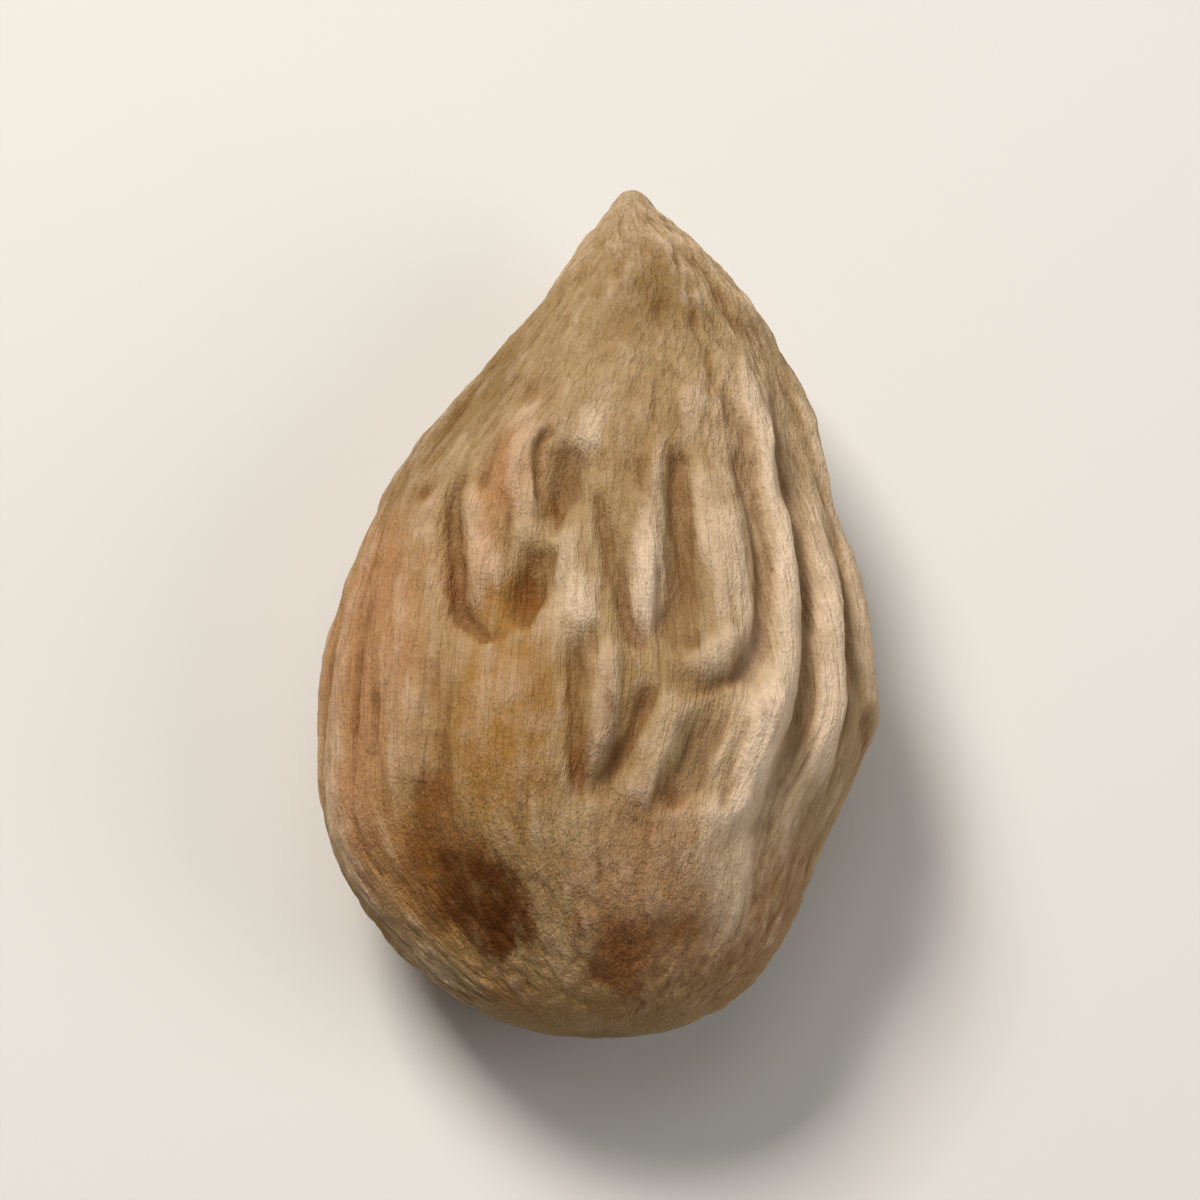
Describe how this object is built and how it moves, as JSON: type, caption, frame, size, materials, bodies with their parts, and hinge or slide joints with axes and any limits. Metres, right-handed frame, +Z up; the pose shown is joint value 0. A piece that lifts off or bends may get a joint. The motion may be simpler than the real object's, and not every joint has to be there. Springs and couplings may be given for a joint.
{
  "type": "almond kernel",
  "caption": "Shelled almond kernel in wrinkled brown skin, drop-shaped and flattened, lying on its broad side.",
  "frame": {"origin": "on the surface that the kernel rests on, under the middle of its outline", "axes": "+Z up from the resting spot, +Y from the blunt base to the pointed tip, +X towards the right-hand edge seen from above"},
  "size_m": [0.0151, 0.024, 0.0085],
  "materials": {
    "almond_skin": "matte"
  },
  "bodies": {
    "root": {"almond_kernel": "almond_skin"}
  },
  "joints": []
}
